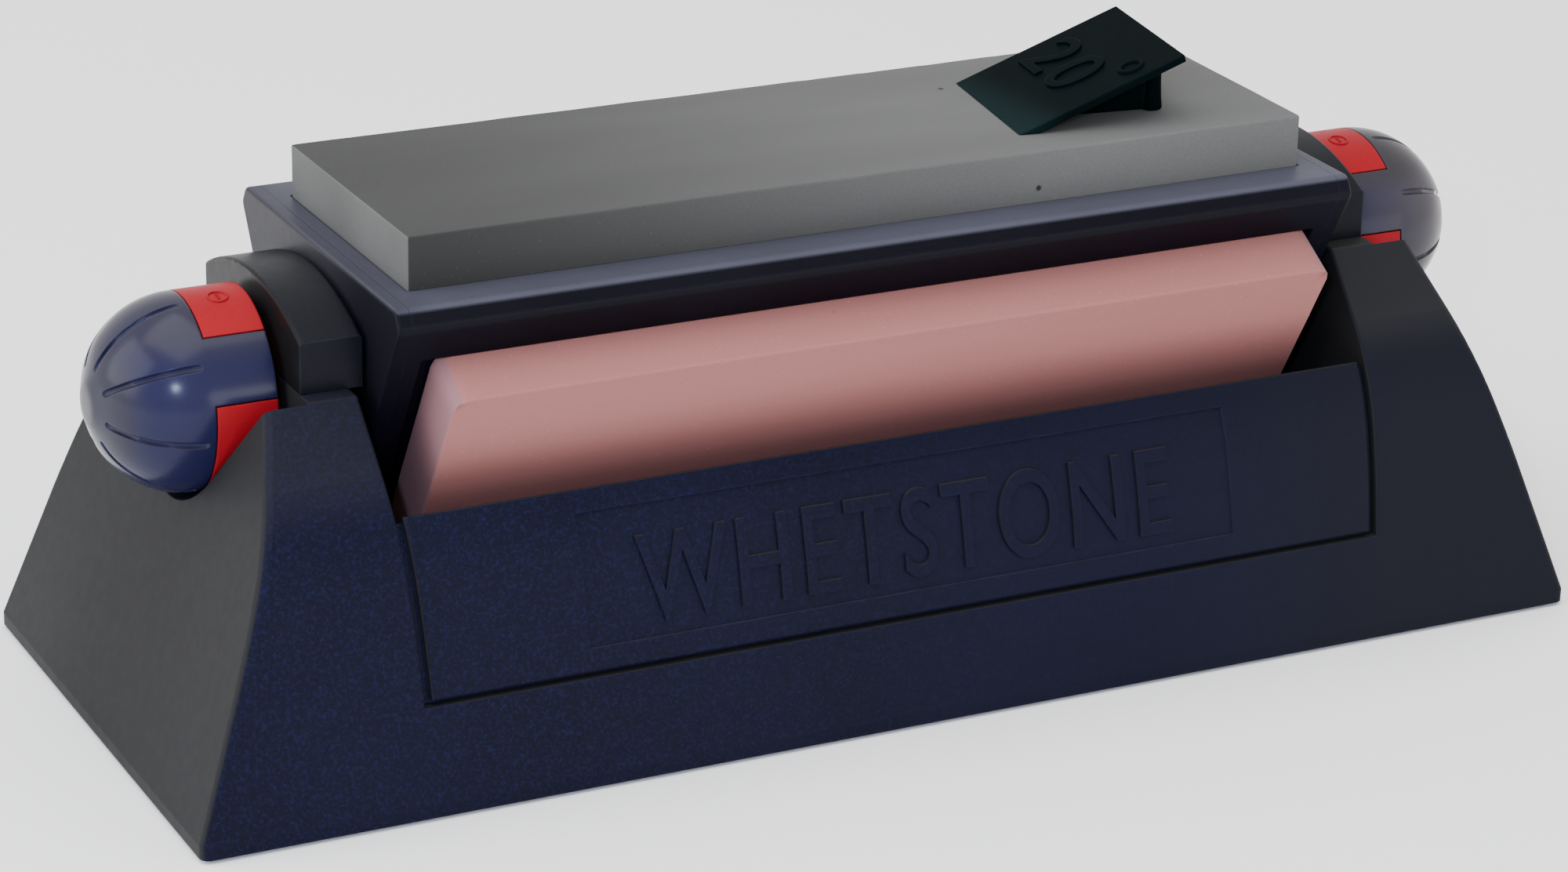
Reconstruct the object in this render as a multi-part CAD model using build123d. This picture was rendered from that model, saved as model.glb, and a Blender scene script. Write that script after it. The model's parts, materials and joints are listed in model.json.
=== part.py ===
"""Bench sharpening station: a three-sided stone carrier turning in a moulded base.

Frame: X runs along the stones, Y is depth (front is -Y), Z is up, the feet stand on Z = 0.
All sizes are in millimetres.
"""
import os
from math import cos, radians, sin, tan

from build123d import *

# ---- base ----------------------------------------------------------------
BASE_HALF_L, BASE_HALF_W = 157.6, 63.1      # footprint at the foot of the skirt
SKIRT_Z0, LIP_Z = 0.8, 3.5                  # underside of the skirt, top of its upright lip
COLUMN_Z, COLUMN_HALF_W = 78.5, 31.0        # flat top of each end column
END_SLOPE = 0.352                           # inward lean of the end faces per mm of height
WALL = 2.8                                  # moulding wall
COLUMN_X, COLUMN_DRAFT = 112.0, 0.04        # inner face of each column at its top, lean per mm down
WELL_Z = 22.7                               # top of the low wall between the columns
FRONT_PTS = [(63.1, 3.5), (56.8, 36.0), (51.0, 56.5), (31.0, 78.5)]
FRONT_RADII = [90.0, 52.0]
CORNER_R, TOP_EDGE_R, LIP_R = 2.0, 0.8, 0.7

# ---- inset panels ----------------------------------------------------------
PANEL_GAP, FLANGE_GAP = 1.7, 0.3            # from the columns to the raised face and to its flange
PANEL_Z0, PANEL_Z1, TONGUE_Z0 = 23.7, 58.5, 10.0
PANEL_RECESS, PANEL_T, FLANGE_RECESS = 0.1, 3.2, 1.9
PANEL_EDGE_R = 0.7
LABEL = (74.2, 28.6, 54.6, 0.5)             # half length, low Z, high Z, depth of the blank label

# ---- axle and carrier --------------------------------------------------------
AXLE_Z, AXLE_R, AXLE_HALF_L = 72.4, 6.0, 146.2
RUN_FIT = 0.05                              # radial running clearance
SWEEP_R = 49.25                             # clear radius around the turning carrier
CARRIER_HALF_L, PLATE_T, PLATE_EDGE_R = 108.3, 3.0, 0.8
FACE_IN, FACE_HALF_W, RIDGE_R = 26.5, 41.5, 2.0     # face distance from the axle, half width, easing
HOLLOW_IN = 22.0
SEAT_FLOOR, PAD_T = 24.3, 0.6
STONE = (203.2, 63.5, 12.7)
SHORT_STONE_L, SHORT_STONE_SHIFT = 200.0, 1.2
SEAT_GAP, STONE_EDGE = 0.3, 0.5
BOSS_R, BOSS_AT, PIN_R, PIN_L = 5.6, 34.0, 2.0, 8.0  # corner bosses of the carrier, end plate pins

# ---- bearing blocks -------------------------------------------------------------
BLOCK_X0, BLOCK_X1, BLOCK_HALF_W = 109.3, 122.4, 26.7
SHOULDER_Z, ARCH_Z = 89.2, 95.8
TONGUE = (112.3, 120.0, 20.0, 50.2)         # X from, X to, half width, low Z
BUSH_R = 9.5
BLOCK_SCREWS = [(116.6, y) for y in (-13, 13)]

# ---- knobs and index rings ---------------------------------------------------------
KNOB_R, KNOB_WALL = 20.3, 3.0
KNOB_X0, KNOB_X1, KNOB_TIP = 124.5, 137.4, 157.5
SCOOP_R, SCOOP_X, SCOOP_FLARE = 21.5, 122.4, 37.0   # relief round each knob: round below, flared above
RING_R, RING_BORE, RING_X0, RING_X1, HUB_R = 17.0, 14.2, 123.15, 137.1, 10.5
WINDOW_DEG, DOG_DEG = 81.0, 79.2
GROOVES, GROOVE_AT, GROOVE_R, GROOVE_OUT = 8, 12.0, 0.7, 0.15
SPRING_R, SPRING_WIRE = 8.0, 1.2

# ---- fixings and feet ------------------------------------------------------------------
COVER_SCREWS = [(x, y) for x in (-150, 150) for y in (-44, 44)]
COVER_SCREWS += [(x, y) for x in (-45, 45) for y in (-55.6, 55.6)]
FEET = [(x, y) for x in (-122, 122) for y in (-44, 44)]
TRAY_SCREWS = [(x, y) for x in (-80, 80) for y in (-30, 30)]
PANEL_SCREWS, PANEL_SCREW_Z = (-85, 85), 15.5

# ---- angle guide --------------------------------------------------------------------
GUIDE_AT, GUIDE_HEADING, GUIDE_TILT = (41.9, -2.2), -7.8, 21.8
GUIDE_L, GUIDE_W, GUIDE_T = 39.6, 38.0, 1.8
GUIDE_LEG = (34.3, 8.0, 2.4, 1.9)           # distance along, distance off centre, foot and top radius

STONE_TOP = AXLE_Z + SEAT_FLOOR + PAD_T + STONE[2]


def export(shape, name):
    """Write one named sub-part."""
    shape.label = name
    export_step(shape, f"parts/{name}.step")


def box(x0, x1, y0, y1, z0, z1):
    """Box from its low and high corners."""
    return Pos((x0 + x1) / 2, (y0 + y1) / 2, (z0 + z1) / 2) * Box(x1 - x0, y1 - y0, z1 - z0)


def rod(x0, x1, r, y=0.0, z=AXLE_Z):
    """Cylinder along X."""
    return Pos((x0 + x1) / 2, y, z) * Rot(0, 90, 0) * Cylinder(r, x1 - x0)


def tube(x0, x1, r_out, r_in):
    """Tube along X on the axle line."""
    return rod(x0, x1, r_out) - rod(x0 - 1, x1 + 1, r_in)


def post(x, y, z0, z1, r):
    """Cylinder along Z."""
    return Pos(x, y, (z0 + z1) / 2) * Cylinder(r, z1 - z0)


def run_x(face, x0, x1):
    """Extrude a face drawn in the YZ plane from x0 to x1."""
    return extrude(Plane.YZ.offset(x0) * face, amount=x1 - x0)


def run_y(face, half):
    """Extrude a face drawn in the XZ plane to both sides of Y = 0."""
    return extrude(Plane.XZ * face, amount=half, both=True)


def other_end(shape):
    """The matching piece at the -X end."""
    return mirror(shape, about=Plane.YZ)


def rear(shape):
    """The matching piece at the back."""
    return mirror(shape, about=Plane.XZ)


def front_edge(inset):
    """Front-to-top outline of the base, moved inwards, as (y, z) on the +Y side."""
    return [(y - inset, z - (inset if z == COLUMN_Z else 0.0)) for y, z in FRONT_PTS]


def section(inset, z0):
    """Closed cross-section of the base in the YZ plane."""
    pts = front_edge(inset)
    side = FilletPolyline(*pts, radius=FRONT_RADII)
    other = FilletPolyline(*[(-y, z) for y, z in pts], radius=FRONT_RADII)
    half_top, z_top = pts[-1]
    foot = pts[0][0]
    rest = [
        Line((half_top, z_top), (-half_top, z_top)),
        Polyline((foot, pts[0][1]), (foot, z0), (-foot, z0), (-foot, pts[0][1])),
    ]
    return make_face(Wire([*side.edges(), *other.edges(), *rest[0].edges(), *rest[1].edges()]))


def end_outline(inset, z0, z1):
    """Side-to-side outline of the base in the XZ plane."""
    half = BASE_HALF_L - inset
    top = half - END_SLOPE * (z1 - LIP_Z)
    return make_face(Polyline((-half, z0), (-half, LIP_Z), (-top, z1), (top, z1), (half, LIP_Z),
                              (half, z0), close=True))


def base_form(inset, z0):
    """Solid body of the base, moved inwards by inset, open downwards to z0."""
    return run_x(section(inset, z0), -170, 170) & run_y(end_outline(inset, z0, COLUMN_Z - inset), 80)


def well(inset, z0, z1):
    """Space between the columns, a little wider at the top, moved inwards by inset."""
    low, high = (COLUMN_X - inset - COLUMN_DRAFT * (COLUMN_Z - z) for z in (z0, z1))
    return run_y(make_face(Polyline((-low, z0), (low, z0), (high, z1), (-high, z1), close=True)), 80)


def rounded_form():
    """The base's outer form with its slanting corners and top edges eased."""
    form = base_form(0.0, SKIRT_Z0)
    slanting = [e for e in form.edges() if is_corner(e) and e.center().Z > LIP_Z]
    form = fillet(slanting, CORNER_R)
    upright = [e for e in form.edges() if is_corner(e) and e.length < LIP_Z]
    form = fillet(upright, CORNER_R)
    rims = [e for e in form.edges() if abs(e.center().Z - COLUMN_Z) < 0.05]
    return fillet(rims, TOP_EDGE_R)


def is_corner(edge):
    """Whether a straight or curved edge runs up one of the four corners of the base."""
    steep = abs(edge.tangent_at(0.5).Z) > (0.9 if edge.center().Z < LIP_Z else 0.3)
    return steep and abs(edge.center().X) > 125


def scoop(r, x0, x1):
    """Relief along X round a knob: a round bottom of radius r with flared sides up past the column."""
    a = radians(SCOOP_FLARE)
    y0, z0 = r * cos(a), AXLE_Z - r * sin(a)
    top = COLUMN_Z + 30
    y1 = y0 + (top - z0) * tan(a)
    face = make_face(Wire([
        ThreePointArc((-y0, z0), (0, AXLE_Z - r), (y0, z0)).edge(),
        *Polyline((y0, z0), (y1, top), (-y1, top), (-y0, z0)).edges(),
    ]))
    return run_x(face, x0, x1)


def base_shell():
    """One-piece outer moulding: skirt, low walls and the two hollow end columns."""
    form = rounded_form()
    z0 = SKIRT_Z0 + 2.1
    form -= well(0, WELL_Z, 100)
    lips = [e for e in form.edges() if is_lip(e)]
    form = fillet(lips, LIP_R)
    shell = form - base_form(WALL, SKIRT_Z0 - 1)
    shell += form & (well(-WALL, z0, 100) - well(0, z0 - 1, 101))
    for side in (1, -1):
        def at(x0, x1, *rest):
            return box(*sorted((side * x0, side * x1)), *rest)

        def bar(x0, x1, r):
            return rod(*sorted((side * x0, side * x1)), r)

        def relief(x0, x1, r):
            return scoop(r, *sorted((side * x0, side * x1)))

        pocket = form & at(COLUMN_X - 0.8, SCOOP_X, -22.9, 22.9, 47.6, 100)
        liner = form & relief(SCOOP_X - 2.5, 165, SCOOP_R + 2.6)
        shell += pocket + liner
        shell -= at(COLUMN_X - 5, 120.2, -20.2, 20.2, 50.0, 100)
        shell -= relief(SCOOP_X, 170, SCOOP_R)
        shell -= bar(119, 125, 10.2) + at(119, 125, -10.2, 10.2, AXLE_Z, 100)
        for x, y in BLOCK_SCREWS:
            shell -= post(side * x, y, 40, 55, 1.8) + post(side * x, y, 42, 47.6, 3.4)
    for x, y in COVER_SCREWS:
        shell += (post(x, y, 3.2, 9.4, 4.6) & form) - post(x, y, 0, 8.9, 1.5)
    for x in PANEL_SCREWS:
        for y in (-58.1, 58.1):
            shell -= panel_pilot(x, y)
    return shell


def is_lip(edge):
    """Whether an edge of the outer form runs up a column's inner face, on the front or the back."""
    at = edge.center()
    on_face = abs(abs(at.X) - COLUMN_X + COLUMN_DRAFT * (COLUMN_Z - at.Z)) < 0.3
    return on_face and WELL_Z + 1 < at.Z < COLUMN_Z - 1 and abs(at.Y) > COLUMN_HALF_W


def panel_pilot(x, y):
    """Blind pilot hole for a panel screw, along Y, centred on y."""
    return Pos(x, y, PANEL_SCREW_Z) * Rot(90, 0, 0) * Cylinder(1.55, 2.6)


def panel():
    """Inset front panel: raised face with a blank label field, flange all round, low tongue."""
    def layer(inset, gap, z0, z1):
        return base_inner(inset) & well(gap, z0, z1) & box(-130, 130, -80, 0, z0, z1)

    core = base_inner(PANEL_RECESS + PANEL_T)
    face = layer(PANEL_RECESS, PANEL_GAP, PANEL_Z0, PANEL_Z1)
    face = fillet([e for e in face.edges() if is_panel_rim(e)], PANEL_EDGE_R) - core
    flange = layer(FLANGE_RECESS, FLANGE_GAP, WELL_Z + 0.2, PANEL_Z1) - core
    tongue = layer(WALL + 0.3, 2.5, TONGUE_Z0, WELL_Z + 0.6) - base_inner(WALL + 2.3)
    hx, z0, z1, depth = LABEL
    field = box(-hx, hx, -80, 0, z0, z1) - base_inner(PANEL_RECESS + depth)
    body = face + flange + tongue - field
    body -= rod(-COLUMN_X, COLUMN_X, SWEEP_R)
    for x in PANEL_SCREWS:
        body -= Pos(x, -58, PANEL_SCREW_Z) * Rot(90, 0, 0) * Cylinder(1.6, 14)
    return body


def is_panel_rim(edge):
    """Whether an edge bounds the panel's outer face at either end or along the bottom."""
    at = edge.center()
    upright = abs(at.X) > 100 and at.Y < -40 and abs(edge.tangent_at(0.5).Y) < 0.95
    return upright or (abs(at.X) < 1 and abs(at.Z - PANEL_Z0) < 0.1 and at.Y < -40)


def base_inner(inset):
    """Long bar with the base's cross-section, moved inwards."""
    return run_x(section(inset, SKIRT_Z0 - 4), -160, 160)


def bearing_block():
    """Arch-topped block at the +X end, with a tongue that drops into the column."""
    w = BLOCK_HALF_W
    cap = make_face(Wire([
        *Polyline((w, SHOULDER_Z), (w, COLUMN_Z), (-w, COLUMN_Z), (-w, SHOULDER_Z)).edges(),
        ThreePointArc((-w, SHOULDER_Z), (0, ARCH_Z), (w, SHOULDER_Z)).edge(),
    ]))
    block = run_x(cap, BLOCK_X0, BLOCK_X1)
    rim = [e for e in block.edges() if e.geom_type == GeomType.CIRCLE]
    block = fillet(rim, 0.8)
    x0, x1, half, z0 = TONGUE
    block += box(x0, x1, -half, half, z0, COLUMN_Z)
    block -= rod(BLOCK_X0 - 1, BLOCK_X1 + 1, BUSH_R)
    for x, y in BLOCK_SCREWS:
        block -= post(x, y, z0 - 1, z0 + 11, 1.5)
    return block


def triangle(inradius, half_w=None):
    """Three-sided section in the YZ plane about the axle, one side up, corners cut to half_w and eased."""
    half = half_w or inradius * 3 ** 0.5
    pts = []
    for k in range(3):
        a = radians(120 * k)
        for y in (half, -half) if half_w else (half,):
            pts.append((y * cos(a) - inradius * sin(a), AXLE_Z + y * sin(a) + inradius * cos(a)))
    face = make_face(Polyline(*pts, close=True))
    return fillet(face.vertices(), RIDGE_R) if half_w else face


def about_axle(shape, degrees):
    """Turn a shape about the axle line."""
    return Pos(0, 0, AXLE_Z) * Rot(degrees, 0, 0) * Pos(0, 0, -AXLE_Z) * shape


def three(shape):
    """The shape at each of the three indexed positions."""
    return [about_axle(shape, 120 * k) for k in range(3)]


def carrier_shell():
    """Hollow three-sided carrier with a stone seat sunk in each face."""
    half = CARRIER_HALF_L - PLATE_T
    body = run_x(triangle(FACE_IN, FACE_HALF_W), -half, half)
    body -= run_x(triangle(HOLLOW_IN), -half - 1, half + 1)
    for boss in corner_posts(-half, half, BOSS_R):
        body += boss & run_x(triangle(FACE_IN - 1, FACE_HALF_W - 1), -half, half)
    depth = PIN_L + 1
    for x in (-half, half):
        for hole in corner_posts(x - depth, x + depth, PIN_R):
            body -= hole
    seat = box(-STONE[0] / 2 - SEAT_GAP, STONE[0] / 2 + SEAT_GAP, -STONE[1] / 2 - SEAT_GAP,
               STONE[1] / 2 + SEAT_GAP, AXLE_Z + SEAT_FLOOR, AXLE_Z + FACE_IN + 5)
    for cut in three(seat):
        body -= cut
    return body


def corner_posts(x0, x1, r):
    """Rods along X in the three corners of the carrier."""
    return [about_axle(rod(x0, x1, r, 0, AXLE_Z - BOSS_AT), 120 * k) for k in range(3)]


def end_plate():
    """Carrier end plate at the +X end: hub on the axle and three pins pressed into the shell's bosses."""
    x0, x1 = CARRIER_HALF_L - PLATE_T, CARRIER_HALF_L
    plate = run_x(triangle(FACE_IN, FACE_HALF_W), x0, x1)
    plate = fillet([e for e in plate.edges() if abs(e.center().X - x1) < 0.01], PLATE_EDGE_R)
    plate += rod(x0 - 10, x0, 11) + rod(x1, x1 + 0.7, 9.0)
    for pin in corner_posts(x0 - PIN_L, x0 + 0.5, PIN_R - 0.03):
        plate += pin
    return plate - rod(x0 - 11, x1 + 2, AXLE_R)


def axle():
    """Steel axle with threaded ends for the retaining screws."""
    body = rod(-AXLE_HALF_L, AXLE_HALF_L, AXLE_R)
    body = chamfer(body.edges().filter_by(GeomType.CIRCLE), 0.5)
    return body - rod(-AXLE_HALF_L - 1, -AXLE_HALF_L + 14, 2.1) - rod(AXLE_HALF_L - 14, AXLE_HALF_L + 1, 2.1)


def stone(length, chamfered):
    """Bench stone on the top face."""
    z0 = AXLE_Z + SEAT_FLOOR + PAD_T
    body = box(-length / 2, length / 2, -STONE[1] / 2, STONE[1] / 2, z0, z0 + STONE[2])
    if chamfered:
        body = chamfer(body.edges().filter_by(Axis.Z), 2.2)
    return chamfer(body.faces().sort_by(Axis.Z)[-1].edges(), STONE_EDGE)


def pad():
    """Bedding pad under the top stone."""
    z0 = AXLE_Z + SEAT_FLOOR
    return box(-98, 98, -29, 29, z0, z0 + PAD_T)


def wedge(deg, r, x0, x1):
    """Solid sector along X, centred on straight up, reaching past radius r."""
    a = radians(deg / 2)
    far = 2.5 * r
    pts = [(0, AXLE_Z), (far * sin(a), AXLE_Z + far * cos(a)), (-far * sin(a), AXLE_Z + far * cos(a))]
    return run_x(make_face(Polyline(*pts, close=True)), x0, x1)


def index_ring():
    """Coloured ring at the +X end: hub and web on the axle, cup wall, three dogs flush with the knob."""
    ring = tube(RING_X0, 126.0, HUB_R, AXLE_R) + tube(KNOB_X0, 126.0, RING_R, AXLE_R)
    ring += tube(KNOB_X0, RING_X1, RING_R, RING_BORE)
    dog = tube(KNOB_X0, RING_X1, KNOB_R, RING_R - 1) & wedge(DOG_DEG, KNOB_R, KNOB_X0, RING_X1)
    for piece in three(dog):
        ring += piece
    return ring


def dome(radius, tip):
    """Solid half-ellipsoid beyond the knob's skirt."""
    outline = Spline((KNOB_X1, radius), *[
        (KNOB_X1 + (tip - KNOB_X1) * sin(radians(t)), radius * cos(radians(t))) for t in range(15, 90, 15)
    ], (tip, 0), tangents=((1, 0), (0, -1)))
    half = make_face(Wire([*outline.edges(), *Polyline((tip, 0), (KNOB_X1, 0), (KNOB_X1, radius)).edges()]))
    return Pos(0, 0, AXLE_Z) * revolve(Plane.XZ * half, Axis.X, 360)


def knob_shell():
    """Domed grip at the +X end with three windows between its fingers and grooves down the dome."""
    shell = tube(KNOB_X0, KNOB_X1, KNOB_R, RING_R + 0.3) + dome(KNOB_R, KNOB_TIP)
    shell -= dome(KNOB_R - KNOB_WALL, KNOB_TIP - KNOB_WALL)
    cutter = tube(KNOB_X0 - 1, KNOB_X1, KNOB_R + 2, 10) & wedge(WINDOW_DEG, KNOB_R, KNOB_X0 - 1, KNOB_X1)
    for piece in three(cutter):
        shell -= piece
    tip = KNOB_TIP - KNOB_X1
    path = [(KNOB_X1 + tip * sin(radians(t)), AXLE_Z + (KNOB_R + GROOVE_OUT) * cos(radians(t)))
            for t in (6, 25, 45, 66)]
    for k in range(GROOVES):
        for (xa, za), (xb, zb) in zip(path, path[1:]):
            length = ((xb - xa) ** 2 + (zb - za) ** 2) ** 0.5
            plane = Plane(origin=(xa, 0, za), z_dir=(xb - xa, 0, zb - za))
            bar = extrude(plane * Circle(GROOVE_R), amount=length) + Pos(xa, 0, za) * Sphere(GROOVE_R)
            bar += Pos(xb, 0, zb) * Sphere(GROOVE_R)
            shell -= about_axle(bar, GROOVE_AT + 360 / GROOVES * k)
    return shell


def knob_core():
    """Cup inside the +X knob: slides on the axle, holds the spring, carries the shell on its flange."""
    core = tube(KNOB_X1 + 0.2, KNOB_X1 + 2.6, RING_R + 0.1, 11.0)
    core += tube(126.3, KNOB_X1 + 2.6, RING_BORE - 0.5, 11.0)
    return core + tube(126.3, 128.8, RING_BORE - 0.5, AXLE_R + RUN_FIT)


def knob_spring():
    """Compression spring between the knob's cup and the end washer."""
    x0, length = 128.8 + SPRING_WIRE / 2 + 0.1, AXLE_HALF_L - 128.8 - SPRING_WIRE - 0.2
    coil = Helix(pitch=length / 5, height=length, radius=SPRING_R)
    wire = sweep(Plane(origin=coil @ 0, z_dir=coil % 0) * Circle(SPRING_WIRE / 2), path=coil)
    return Pos(x0, 0, AXLE_Z) * Rot(0, 90, 0) * wire


def end_washer():
    """Washer on the +X end of the axle."""
    return tube(AXLE_HALF_L, AXLE_HALF_L + 1.2, 9.5, 2.6)


def end_screw():
    """Retaining screw in the +X end of the axle."""
    x = AXLE_HALF_L + 1.2
    return rod(x - 12, x, 2.1) + rod(x, x + 2.8, 4.2) - rod(x + 1.2, x + 4, 1.5)


def drip_tray():
    """Shallow tray under the carrier that catches the honing oil."""
    tray = box(-108.9, 108.9, -46.5, 46.5, 17.5, 21.4) - box(-107.2, 107.2, -44.6, 44.6, 19.5, 40)
    for x, y in TRAY_SCREWS:
        tray += post(x, y, 2.9, 17.6, 5.0) - post(x, y, 0, 14, 1.5)
    return tray


def bottom_cover():
    """Flat plate that closes the underside."""
    plate = box(-154.2, 154.2, -59.8, 59.8, SKIRT_Z0 + 0.1, 2.9)
    for x, y in COVER_SCREWS + TRAY_SCREWS:
        plate -= post(x, y, 0, 5, 1.9) + post(x, y, 0, SKIRT_Z0 + 1.2, 3.3)
    for x, y in FEET:
        plate -= post(x, y, 0, SKIRT_Z0 + 1.0, 9.1)
    return plate


def screws_up(points, z_head, length):
    """Pan-head screws driven upwards."""
    made = []
    for x, y in points:
        body = post(x, y, z_head + 1.0, z_head + length, 1.45) + post(x, y, z_head, z_head + 1.1, 3.0)
        made.append(body - post(x, y, z_head - 1, z_head + 0.5, 1.0))
    return Compound(children=made)


def angle_guide():
    """Loose sloping guide: thin plate, two webs under it, each ending in a round leg at the high end."""
    tilt = radians(GUIDE_TILT)
    run, rise = GUIDE_L * cos(tilt), GUIDE_L * sin(tilt)
    drop = GUIDE_T / cos(tilt)
    side = [(0, 0), (run, rise), (run + 0.5, rise - drop + 0.4), (drop / (rise / run), 0)]
    plate = run_y(make_face(Polyline(*side, close=True)), GUIDE_W / 2)
    upright = [e for e in plate.edges() if abs(e.tangent_at(0.5).Y) < 0.1 and e.center().X > run - 0.5]
    plate = fillet(upright, 0.8)
    along, off, foot_r, top_r = GUIDE_LEG
    web = [(6, 0.1), (along, 0.1), (along, along * rise / run - 1), (6, 6 * rise / run - 1)]
    height = along * rise / run - 1.2
    for side in (1, -1):
        plate += Pos(0, side * off, 0) * run_y(make_face(Polyline(*web, close=True)), 0.9)
        plate += Pos(along, side * off, height / 2) * Cone(foot_r, top_r, height)
    return Pos(GUIDE_AT[0], GUIDE_AT[1], STONE_TOP) * Rot(0, 0, GUIDE_HEADING) * plate


def both_ends(shape, name):
    """Write a +X end piece and its mirror image."""
    export(shape, f"right_{name}")
    export(other_end(shape), f"left_{name}")


def panel_screws():
    """Two screws that hold a panel's tongue to the low wall, driven from inside."""
    made = []
    for x in PANEL_SCREWS:
        at = Pos(x, 0, PANEL_SCREW_Z) * Rot(90, 0, 0)
        made.append(at * (Pos(0, 0, 56.4) * Cylinder(1.5, 5.6)) + at * (Pos(0, 0, 54.1) * Cylinder(3.2, 1.4)))
    return Compound(children=made)


def main():
    """Build and write every sub-part."""
    os.makedirs("parts", exist_ok=True)
    export(base_shell(), "base_shell")
    front = panel()
    export(front, "front_panel")
    export(rear(front), "rear_panel")
    export(panel_screws(), "front_panel_screws")
    export(rear(panel_screws()), "rear_panel_screws")
    export(drip_tray(), "drip_tray")
    export(bottom_cover(), "bottom_cover")
    export(Compound(children=[post(x, y, 0, SKIRT_Z0 + 0.95, 9.0) for x, y in FEET]), "rubber_feet")
    export(screws_up(COVER_SCREWS, SKIRT_Z0 + 0.1, 7.6), "cover_screws")
    export(screws_up(TRAY_SCREWS, SKIRT_Z0 + 0.1, 12.0), "tray_screws")
    both_ends(bearing_block(), "bearing_block")
    both_ends(screws_up(BLOCK_SCREWS, 46.5, 13.0), "block_screws")
    both_ends(tube(BLOCK_X0 + 0.2, BLOCK_X1, BUSH_R, AXLE_R + RUN_FIT), "bush")
    both_ends(tube(BLOCK_X1, RING_X0 - 0.05, HUB_R, AXLE_R + 0.6), "friction_washer")
    export(carrier_shell(), "carrier_shell")
    both_ends(end_plate(), "end_plate")
    export(axle(), "axle")
    export(stone(STONE[0], False), "top_stone")
    export(about_axle(Pos(SHORT_STONE_SHIFT, 0, 0) * stone(SHORT_STONE_L, True), 120), "front_stone")
    export(about_axle(stone(STONE[0], False), -120), "rear_stone")
    for name, turn in (("top_pad", 0), ("front_pad", 120), ("rear_pad", -120)):
        export(about_axle(pad(), turn), name)
    both_ends(index_ring(), "index_ring")
    both_ends(knob_shell(), "knob_shell")
    both_ends(knob_core(), "knob_core")
    both_ends(knob_spring(), "knob_spring")
    both_ends(end_washer(), "end_washer")
    both_ends(end_screw(), "end_screw")
    export(angle_guide(), "angle_guide")


if __name__ == "__main__":
    main()
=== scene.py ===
"""Looks for the three-sided sharpening stone station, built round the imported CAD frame."""
import json
import math

import bmesh
import bpy
from mathutils import Matrix, Vector, noise


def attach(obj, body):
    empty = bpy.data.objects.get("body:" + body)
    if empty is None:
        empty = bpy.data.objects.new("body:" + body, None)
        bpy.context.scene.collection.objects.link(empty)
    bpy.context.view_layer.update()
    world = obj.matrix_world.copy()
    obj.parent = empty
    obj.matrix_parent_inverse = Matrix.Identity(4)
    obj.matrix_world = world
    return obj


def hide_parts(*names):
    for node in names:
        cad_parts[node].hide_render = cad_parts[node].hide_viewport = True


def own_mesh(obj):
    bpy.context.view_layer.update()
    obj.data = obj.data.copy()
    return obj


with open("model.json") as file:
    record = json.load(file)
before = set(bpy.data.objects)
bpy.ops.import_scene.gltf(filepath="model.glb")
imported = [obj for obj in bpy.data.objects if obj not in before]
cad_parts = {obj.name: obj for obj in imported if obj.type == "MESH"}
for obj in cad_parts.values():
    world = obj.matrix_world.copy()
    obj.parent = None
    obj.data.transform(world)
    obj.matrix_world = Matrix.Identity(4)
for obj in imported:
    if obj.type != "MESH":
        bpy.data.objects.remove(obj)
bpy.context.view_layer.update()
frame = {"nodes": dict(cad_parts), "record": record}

MM = 0.001
NODES = frame["nodes"]


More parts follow.
